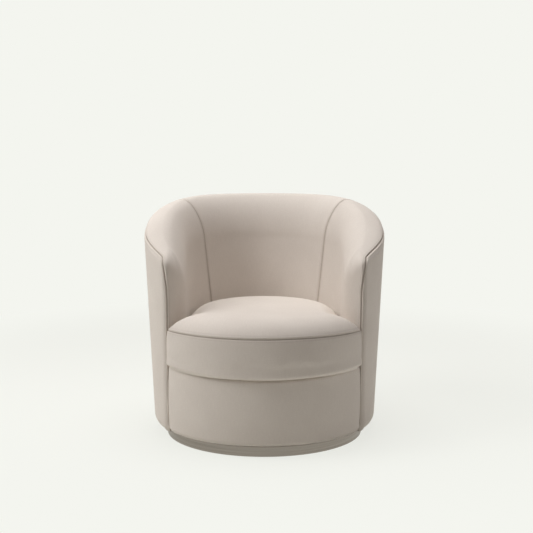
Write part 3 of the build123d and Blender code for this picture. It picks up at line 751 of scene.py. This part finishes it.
panel = {
    "radius": 0.360, "setback": 0.027, "half": 0.3068, "low": 0.0385, "high": 0.2462,
    "lift": 0.010, "liftAt": 0.30,  # the top edge rises towards the arms
    "lowRoll": 0.018, "topRoll": 0.010, "sideRoll": 0.006, "corner": 0.018, "bulge": 0.003,
    "lowTuck": 0.010, "topTuck": 0.012, "sideTuck": 0.005, "edge": 0.0005,
    "step": 0.010, "topRows": 6, "faceRows": 24, "lowRows": 8, "topV": 0.002, "lowV": 0.0035, "tuckV": 0.02,
    "heart": (0, 0, 0.15), "thickness": 0.008,
}


def panelLine(x, length, halfAngle):
    # one upright line of the panel's cloth, from the tuck at the top to the tuck at the foot
    nearSide = min(x, length - x)
    angle = x / panel["radius"] - halfAngle
    side = smooth(nearSide / panel["sideRoll"])
    cut = clamp(1 - nearSide / panel["corner"])
    low = panel["low"] + panel["corner"] * (1 - math.sqrt(clamp(1 - cut**2)))
    high = panel["high"] + panel["lift"] * (math.sin(angle) * panel["radius"] / panel["liftAt"]) ** 2
    topRoll, lowRoll = panel["topRoll"], panel["lowRoll"]
    faceHigh, faceLow = high - topRoll, low + lowRoll
    # (how far in, height, height in the flat cloth)
    spots = [(topRoll + panel["topTuck"], high - panel["edge"], high + panel["tuckV"])]
    for i in range(panel["topRows"] + 1):
        turn = quarterTurn * i / panel["topRows"]
        depth = topRoll * (1 - math.sin(turn))
        spots.append((depth, high - topRoll * (1 - math.cos(turn)), high - i * panel["topV"]))
    for i in range(1, panel["faceRows"]):
        share = i / panel["faceRows"]
        z = mix(faceHigh, faceLow, share)
        spots.append((-panel["bulge"] * 4 * share * (1 - share) * side, z, z))
    for i in range(panel["lowRows"] + 1):
        turn = quarterTurn * i / panel["lowRows"]
        depth = lowRoll * (1 - math.cos(turn))
        spots.append((depth, faceLow - lowRoll * math.sin(turn), faceLow - i * panel["lowV"]))
    spots.append((lowRoll + panel["lowTuck"], low + panel["edge"], low - panel["tuckV"]))
    line = []
    for depth, z, v in spots:
        radius = panel["radius"] - depth - panel["sideTuck"] * (1 - side) ** 2
        point = Vector((radius * math.sin(angle), -panel["setback"] - radius * math.cos(angle), z))
        line.append((point, (x, v)))
    return line


def makeFrontPanel():
    halfAngle = math.asin(panel["half"] / panel["radius"])
    length = 2 * halfAngle * panel["radius"]
    made = Cloth()
    made.patch([panelLine(x, length, halfAngle) for x in edgeSteps(length, panel["step"])], panel["heart"])
    return made.make("frontPanel", panel["thickness"], False)


front = makeFrontPanel()
front.data.materials.append(upholstery)
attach(front, "seat")
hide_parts("front_panel_pad")
print("front panel made")


cushion = {
    "setback": 0.027, "front": 0.375, "side": 0.2566, "deck": 0.249, "seam": 0.371, "crown": 0.0505,
    "gap": 0.0007, "reach": 0.19, "fullness": 6.2, "ears": 2, "points": 320, "net": 80, "middle": (0, -0.04),
    "cornerParts": 24, "frontParts": 60, "sideParts": 12, "backParts": 60,
    "footInset": 0.010, "footRise": 0.012, "footRows": 4,
    "borderRows": 15, "bulge": 0.001, "seamInset": 0.0035,
    "crownInsets": (
        0.0045, 0.0060, 0.0080, 0.0105, 0.0135, 0.0175, 0.0225, 0.0285,
        0.036, 0.045, 0.056, 0.070, 0.086, 0.104, 0.122,
    ),
    "redrawnFrom": 0.004, "rounding": 300,  # rings further in are drawn anew, and rounded by their inset
    # the lower edge rises towards the ears
    "lift": 0.010, "liftAt": 0.30, "liftFrom": -0.10, "liftSpan": 0.10,
    "seamSpread": 1.2, "seamStart": 0.001, "farMark": 0.3,
    "stuffing": {
        "pressure": 3.0, "cap": 0.006, "still": 0.045, "frames": 14, "quality": 6, "mass": 0.3,
        "stretch": 18, "shear": 8, "bend": 0.6,
    },
    "pocket": {
        "z": 0.310, "half": 0.0120, "soft": 0.003,
        "angle": 45.2, "fade": 0.02, "radius": 0.2476, "beyond": 0.20,
    },
}


def seatOutline(inset, count):
    # the T of the seat seen from above, drawn in by the inset, from the left ear round the front
    radius = wall["roundRadius"] + cushion["gap"] + inset
    frontRadius = cushion["front"] - inset
    side = cushion["side"] - inset
    cx, cy = -wall["roundX"], wall["roundY"]
    spanX, spanY = -cx, -cushion["setback"] - cy
    span = math.hypot(spanX, spanY)
    reach = (radius**2 - frontRadius**2 + span**2) / (2 * span)
    rise = math.sqrt(max(radius**2 - reach**2, 0))
    ux, uy = spanX / span, spanY / span
    corner = Vector((cx + reach * ux + rise * uy, cy + reach * uy - rise * ux))
    turnEnd = math.atan2(corner.y - cy, corner.x - cx)
    points = []
    for i in range(cushion["cornerParts"] + 1):
        turn = turnEnd * i / cushion["cornerParts"]
        points.append(Vector((cx + radius * math.cos(turn), cy + radius * math.sin(turn))))
    ear = list(points)
    frontEnd = math.atan2(corner.x, -(corner.y + cushion["setback"]))
    for i in range(1, cushion["frontParts"]):
        turn = mix(frontEnd, -frontEnd, i / cushion["frontParts"])
        y = -cushion["setback"] - frontRadius * math.cos(turn)
        points.append(Vector((frontRadius * math.sin(turn), y)))
    points += [Vector((-p.x, p.y)) for p in reversed(ear)]
    for i in range(1, cushion["sideParts"]):
        points.append(Vector((side, mix(cy, 0, i / cushion["sideParts"]))))
    for i in range(cushion["backParts"] + 1):
        turn = math.pi * i / cushion["backParts"]
        points.append(Vector((side * math.cos(turn), side * math.sin(turn))))
    for i in range(1, cushion["sideParts"]):
        points.append(Vector((-side, mix(0, cy, i / cushion["sideParts"]))))
    return evenly(points, count)


def evenly(points, count):
    # as many points, at equal distances round the ring
    ring = points + [points[0]]
    lengths = pathLengths(ring)
    placed, k = [], 0
    for i in range(count):
        want = lengths[-1] * i / count
        while lengths[k + 1] < want:
            k += 1
        share = (want - lengths[k]) / max(lengths[k + 1] - lengths[k], 1e-9)
        placed.append(ring[k].lerp(ring[k + 1], share))
    return placed


def roundCorners(points, rounds):
    count = len(points)
    for _ in range(rounds):
        points = [
            points[i] * 0.5 + (points[i - 1] + points[(i + 1) % count]) * 0.25 for i in range(count)
        ]
    return points


def outwards(outline):
    # the outline's normals, away from the cushion's middle
    count = len(outline)
    normals = []
    for i in range(count):
        way = outline[(i + 1) % count] - outline[i - 1]
        normals.append(Vector((way.y, -way.x)).normalized())
    if (outline[0] - Vector(cushion["middle"])).dot(normals[0]) < 0:
        normals = [-n for n in normals]
    return normals


def crownHeight(inset):
    # the crown rises fast from its seam and levels out towards the middle
    share = clamp((inset - cushion["seamInset"]) / cushion["reach"])
    return cushion["seam"] + cushion["crown"] * (1 - (1 - share) ** cushion["fullness"])


def cushionLevels():
    # (inset, height) of each ring: the rolled foot, the border up to the seam, and the crown
    low, seam, rise = cushion["deck"], cushion["seam"], cushion["footRise"]
    levels = []
    for i in range(cushion["footRows"] + 1):
        turn = quarterTurn * i / cushion["footRows"]
        levels.append((cushion["footInset"] * (1 - math.sin(turn)), low + rise * (1 - math.cos(turn))))
    for i in range(1, cushion["borderRows"]):
        t = i / cushion["borderRows"]
        inset = -cushion["bulge"] * math.sin(math.pi * t) + cushion["seamInset"] * t * t
        levels.append((inset, mix(low + rise, seam, t)))
    levels.append((cushion["seamInset"], seam))
    seamLevel = len(levels) - 1
    levels += [(inset, crownHeight(inset)) for inset in cushion["crownInsets"]]
    return levels, seamLevel


def fillRing(piece, ring, count):
    # an even net of faces fills one ring of the drawn points
    mesh = piece.data
    for v in mesh.vertices:
        v.select = v.index // count == ring
    for edge in mesh.edges:
        edge.select = all(mesh.vertices[v].select for v in edge.vertices)
    for polygon in mesh.polygons:
        polygon.select = False
    bpy.ops.object.mode_set(mode="EDIT")
    bpy.ops.mesh.select_mode(type="EDGE")
    bpy.ops.mesh.fill_grid(span=cushion["net"], offset=0)
    bpy.ops.object.mode_set(mode="OBJECT")


def settleNet(mesh, outline, drawn):
    # the net takes the crown's height, the lower edge its lift, and points far from a seam are marked as such
    low, seam = cushion["deck"], cushion["seam"]
    marks = [0.0] * len(mesh.vertices)
    mesh.attributes["mark"].data.foreach_get("value", marks)
    rim = KDTree(len(outline))
    for i, point in enumerate(outline):
        rim.insert((point.x, point.y, 0), i)
    rim.balance()
    for v in mesh.vertices:
        if v.index >= drawn:
            marks[v.index] = cushion["farMark"]
            if v.co.z > seam:
                v.co.z = crownHeight(rim.find((v.co.x, v.co.y, 0))[2])
        else:
            share = clamp((seam - v.co.z) / (seam - low))
            ahead = smooth((cushion["liftFrom"] - v.co.y) / cushion["liftSpan"])
            v.co.z += cushion["lift"] * share * (v.co.x / cushion["liftAt"]) ** 2 * ahead
    mesh.attributes["mark"].data.foreach_set("value", marks)


def layCushionCloth(mesh, perimeter, borderPoints):
    # the cloth's flat measures: round the border, and straight across the crown and the underside
    count = cushion["points"]
    uv = mesh.uv_layers.new(name="cloth")
    for polygon in mesh.polygons:
        onBorder = all(v < borderPoints for v in polygon.vertices)
        wraps = any(v % count == count - 1 for v in polygon.vertices)
        for k in polygon.loop_indices:
            v = mesh.loops[k].vertex_index
            place = mesh.vertices[v].co
            run = perimeter[count] if wraps and v % count == 0 else perimeter[v % count]
            uv.data[k].uv = (run, place.z) if onBorder else (place.x, place.y)


def makeCushion():
    count = cushion["points"]
    outline = roundCorners(seatOutline(0.0, count), cushion["ears"])
    normals = outwards(outline)
    perimeter = pathLengths(outline + [outline[0]])
    levels, seamLevel = cushionLevels()
    points, marks, faces = [], [], []
    for index, (inset, z) in enumerate(levels):
        if inset < cushion["redrawnFrom"]:
            ring = [outline[i] - normals[i] * inset for i in range(count)]
        else:
            rounds = cushion["ears"] + int(inset * cushion["rounding"])
            ring = roundCorners(seatOutline(inset, count), rounds)
        beyond = (inset - cushion["seamInset"]) * cushion["seamSpread"] + cushion["seamStart"]
        points += [Vector((*p, z)) for p in ring]
        marks += [z - cushion["seam"] if index <= seamLevel else beyond] * count
    for k in range(len(levels) - 1):
        for i in range(count):
            j = (i + 1) % count
            faces.append((k * count + i, k * count + j, (k + 1) * count + j, (k + 1) * count + i))
    piece = freshObject("seatCushion")
    mesh = piece.data
    mesh.from_pydata([tuple(p) for p in points], [], faces)
    mark = mesh.attributes.new("mark", "FLOAT", "POINT")
    mark.data.foreach_set("value", marks)
    selectOnly(piece)
    fillRing(piece, 0, count)
    fillRing(piece, len(levels) - 1, count)
    bpy.ops.object.mode_set(mode="EDIT")
    bpy.ops.mesh.select_all(action="SELECT")
    bpy.ops.mesh.normals_make_consistent(inside=False)
    bpy.ops.object.mode_set(mode="OBJECT")
    settleNet(mesh, outline, len(points))
    layCushionCloth(mesh, perimeter, (seamLevel + 1) * count)
    return piece


def puffUp(piece):
    # the cloth is blown up a little, as stuffing does, and no point moves further than the cap
    stuffing = cushion["stuffing"]
    rest = [v.co.copy() for v in piece.data.vertices]
    stuffed = piece.modifiers.new("stuffing", "CLOTH")
    stuffed.settings.use_pressure = True
    stuffed.settings.uniform_pressure_force = stuffing["pressure"]
    stuffed.settings.effector_weights.gravity = 0
    stuffed.settings.quality = stuffing["quality"]
    stuffed.settings.mass = stuffing["mass"]
    stuffed.settings.tension_stiffness = stuffing["stretch"]
    stuffed.settings.compression_stiffness = stuffing["stretch"]
    stuffed.settings.shear_stiffness = stuffing["shear"]
    stuffed.settings.bending_stiffness = stuffing["bend"]
    stuffed.collision_settings.use_collision = False
    stuffed.point_cache.frame_start = 1
    stuffed.point_cache.frame_end = stuffing["frames"]
    for number in range(1, stuffing["frames"] + 1):
        scene.frame_set(number)
    selectOnly(piece)
    bpy.ops.object.modifier_apply(modifier=stuffed.name)
    scene.frame_set(1)
    floor = min(was.z for was in rest)
    for v, was in zip(piece.data.vertices, rest):
        moved = v.co - was
        most = stuffing["cap"] * smooth((was.z - floor) / stuffing["still"])  # the underside lies on the deck
        if moved.length > most:
            v.co = was + moved * (most / moved.length)
    piece.data.update()


def finishCushion(piece):
    # after the stuffing: finer cloth, the double seam round the top, and the zip's pocket at the back
    pocket = cushion["pocket"]
    finer = piece.modifiers.new("finer", "SUBSURF")
    finer.levels = finer.render_levels = 1
    finer.use_limit_surface = False
    applyAll(piece)
    mesh = piece.data
    marks = [0.0] * len(mesh.vertices)
    mesh.attributes["mark"].data.foreach_get("value", marks)
    for v in mesh.vertices:
        angle = math.atan2(-v.co.x, v.co.y)
        inHeight = smooth((pocket["half"] - abs(v.co.z - pocket["z"])) / pocket["soft"])
        inPocket = inHeight * smooth((math.radians(pocket["angle"]) - abs(angle)) / pocket["fade"])
        radius = v.co.xy.length
        if inPocket > 0 and radius > pocket["beyond"]:
            v.co.xy *= mix(1.0, pocket["radius"] / radius, inPocket)
    # the seam's groove round the top, with painted shade in the seam attribute
    sew(piece, [abs(mark) for mark in marks], [-v.normal for v in mesh.vertices])


seatCushion = makeCushion()
puffUp(seatCushion)
finishCushion(seatCushion)
selectOnly(seatCushion)
bpy.ops.object.shade_smooth()
seatCushion.data.materials.append(upholstery)
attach(seatCushion, "cushion")
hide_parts("cushion_cover")
print("cushion made:", len(seatCushion.data.vertices), "points")


# for each kind of finish: the noise's detail, where it turns from the dark colour to the light, and its relief
wood = {"detail": 4.0, "bands": (0.35, 0.68), "gloss": 0.2, "bump": 0.3, "depth": 0.0005}
steel = {"detail": 3.0, "bands": (0.3, 0.7), "gloss": 0.16, "bump": 0.15, "depth": 0.0002, "metallic": 1.0}
plain = {"detail": 4.0, "bands": (0.3, 0.7), "gloss": 0.1, "bump": 0.3, "depth": 0.0004}
grainRoughness = 0.6


def makeFinish(kind, name, light, dark, scale, rough):
    # colour, roughness and relief follow one noise, stretched by a scale of three numbers
    material, start, shader = startMaterial(name)
    place = objectPlace(start)
    if isinstance(scale, tuple):
        place, scale = scaled(start, place, scale), 1.0
    grain = speckle(start, place, scale, kind["detail"], grainRoughness)
    start.mixed(grain.within(*kind["bands"]), linear(*dark), linear(*light)).plug(shader, "Base Color")
    (rough + (grain - 0.5) * kind["gloss"]).plug(shader, "Roughness")
    relief(start, shader, grain, kind["bump"], kind["depth"])
    shader.inputs["Metallic"].default_value = kind.get("metallic", 0.0)
    return material


finishes = {
    "deck_cloth": makeClothMaterial("deckCloth", (196, 185, 168), (160, 148, 132), False),
    "zip_tape": makeClothMaterial("zipTape", (205, 194, 180), (172, 160, 145), False),
    "dust_cloth": makeFinish(plain, "dustCloth", (44, 43, 42), (26, 26, 26), 900.0, 0.95),
    "seat_foam": makeFinish(plain, "seatFoam", (240, 230, 196), (222, 209, 170), 700.0, 0.9),
    "plinth_metal": makeFinish(
        steel, "plinthMetal", (163, 155, 147), (128, 121, 113), (3.0, 3.0, 1400.0), 0.42
    ),
    "plywood": makeFinish(wood, "plywood", (222, 196, 152), (190, 156, 108), (14.0, 14.0, 420.0), 0.65),
    "beech": makeFinish(wood, "beech", (214, 172, 124), (176, 130, 86), (160.0, 160.0, 9.0), 0.65),
    "panel_board": makeFinish(plain, "panelBoard", (150, 118, 86), (118, 90, 62), 260.0, 0.8),
    "spring_steel": makeFinish(
        steel, "springSteel", (96, 96, 98), (60, 60, 62), (300.0, 300.0, 300.0), 0.42
    ),
    "zinc_steel": makeFinish(
        steel, "zincSteel", (204, 204, 200), (166, 166, 164), (200.0, 200.0, 200.0), 0.34
    ),
    "glide_plastic": makeFinish(plain, "glidePlastic", (46, 46, 46), (28, 28, 28), 500.0, 0.5),
}
for part in frame["record"]["subparts"]:
    node = nodes[part["node"]]
    if node.hide_render or part["material_slot"] not in finishes:
        continue
    node.data.materials.clear()
    node.data.materials.append(finishes[part["material_slot"]])
print("finishes set")


room = {
    "floor": (244, 245, 239), "paper": 0.74, "paperFade": (0.7, 2.0), "rough": 0.9, "specular": 0.2,
    "size": 14.0, "parts": 40, "backwards": 1.0,
    "bendFrom": 3.0, "bendRadius": 2.0,  # the paper sweeps up behind the chair
    "aim": (0, 0, 0.35),
    "lamps": {
        "topLamp": (54.0, (0.0, 0.5, 3.3), 2.0),
        "highLamp": (45.0, (-2.2, -0.7, 2.6), 1.5),
        "rightLamp": (13.0, (3.0, 0.7, 0.7), 1.6),
        "leftLamp": (6.5, (-3.0, 0.7, 0.9), 1.6),
        "rearLamp": (12.0, (0.4, 3.2, 1.1), 1.8),
    },
    "sky": 0.150, "skyColour": (1.0, 0.89, 0.845),
}


def seenDirectly(start):
    # 1 for what the camera sees, straight, in a reflection or through something
    camera = start.node("ShaderNodeLightPath", None, None, 0)
    glossy, through = camera.output("Is Glossy Ray"), camera.output("Is Transmission Ray")
    return camera.sum("MAXIMUM", camera, camera.sum("MAXIMUM", glossy, through))


def makePaper():
    # lit as it is near the chair, and plain further off, so that the picture's ground is even
    material, start, shader = startMaterial("paper")
    plainPaper = start.node("ShaderNodeEmission", None, {"Color": linear(*room["floor"]), "Strength": 1.0})
    far = start.node("ShaderNodeVectorMath", {"operation": "LENGTH"}, {0: objectPlace(start)}, 1)
    share = room["paper"] + (1 - room["paper"]) * far.within(*room["paperFade"])
    shader.inputs["Base Color"].default_value = linear(*room["floor"])
    shader.inputs["Roughness"].default_value = room["rough"]
    shader.inputs["Specular IOR Level"].default_value = room["specular"]
    lit = Wire(start.tree, shader.outputs["BSDF"])
    both = start.node("ShaderNodeMixShader", None, {0: seenDirectly(start) * share, 1: lit, 2: plainPaper})
    both.plug(start.tree.nodes["Material Output"], "Surface")
    return material


def makeFloor():
    bpy.ops.object.select_all(action="DESELECT")
    bpy.ops.mesh.primitive_grid_add(
        x_subdivisions=room["parts"],
        y_subdivisions=room["parts"],
        size=room["size"],
        location=(0, room["backwards"], 0),
    )
    floor = bpy.context.active_object
    floor.name = "paperFloor"
    start, radius = room["bendFrom"], room["bendRadius"]
    for v in floor.data.vertices:
        if v.co.y > start:
            turn = min((v.co.y - start) / radius, quarterTurn)
            rest = max(v.co.y - start - radius * quarterTurn, 0)
            v.co.z = radius * (1 - math.cos(turn)) + rest
            v.co.y = start + radius * math.sin(turn)
    floor.data.materials.append(makePaper())
    bpy.ops.object.shade_smooth()


def makeLamp(name, power, place, size):
    light = bpy.data.lights.new(name, "AREA")
    light.energy = power
    light.shape = "DISK"
    light.size = size
    lamp = bpy.data.objects.new(name, light)
    scene.collection.objects.link(lamp)
    lamp.location = place
    aim = Vector(room["aim"]) - Vector(place)
    lamp.rotation_euler = aim.to_track_quat("-Z", "Y").to_euler()


def makeSky():
    world = bpy.data.worlds.new("air")
    scene.world = world
    world.use_nodes = True
    air = Wire(world.node_tree)
    sky = world.node_tree.nodes["Background"]
    sky.inputs["Color"].default_value = (*room["skyColour"], 1.0)
    sky.inputs["Strength"].default_value = room["sky"]
    lit = Wire(world.node_tree, sky.outputs["Background"])
    pale = air.node("ShaderNodeBackground", None, {"Color": linear(*room["floor"]), "Strength": 1.0})
    both = air.node("ShaderNodeMixShader", None, {0: seenDirectly(air), 1: lit, 2: pale})
    both.plug(world.node_tree.nodes["World Output"], "Surface")


makeFloor()
for lampName, (power, place, size) in room["lamps"].items():
    makeLamp(lampName, power, place, size)
makeSky()
print("room made")
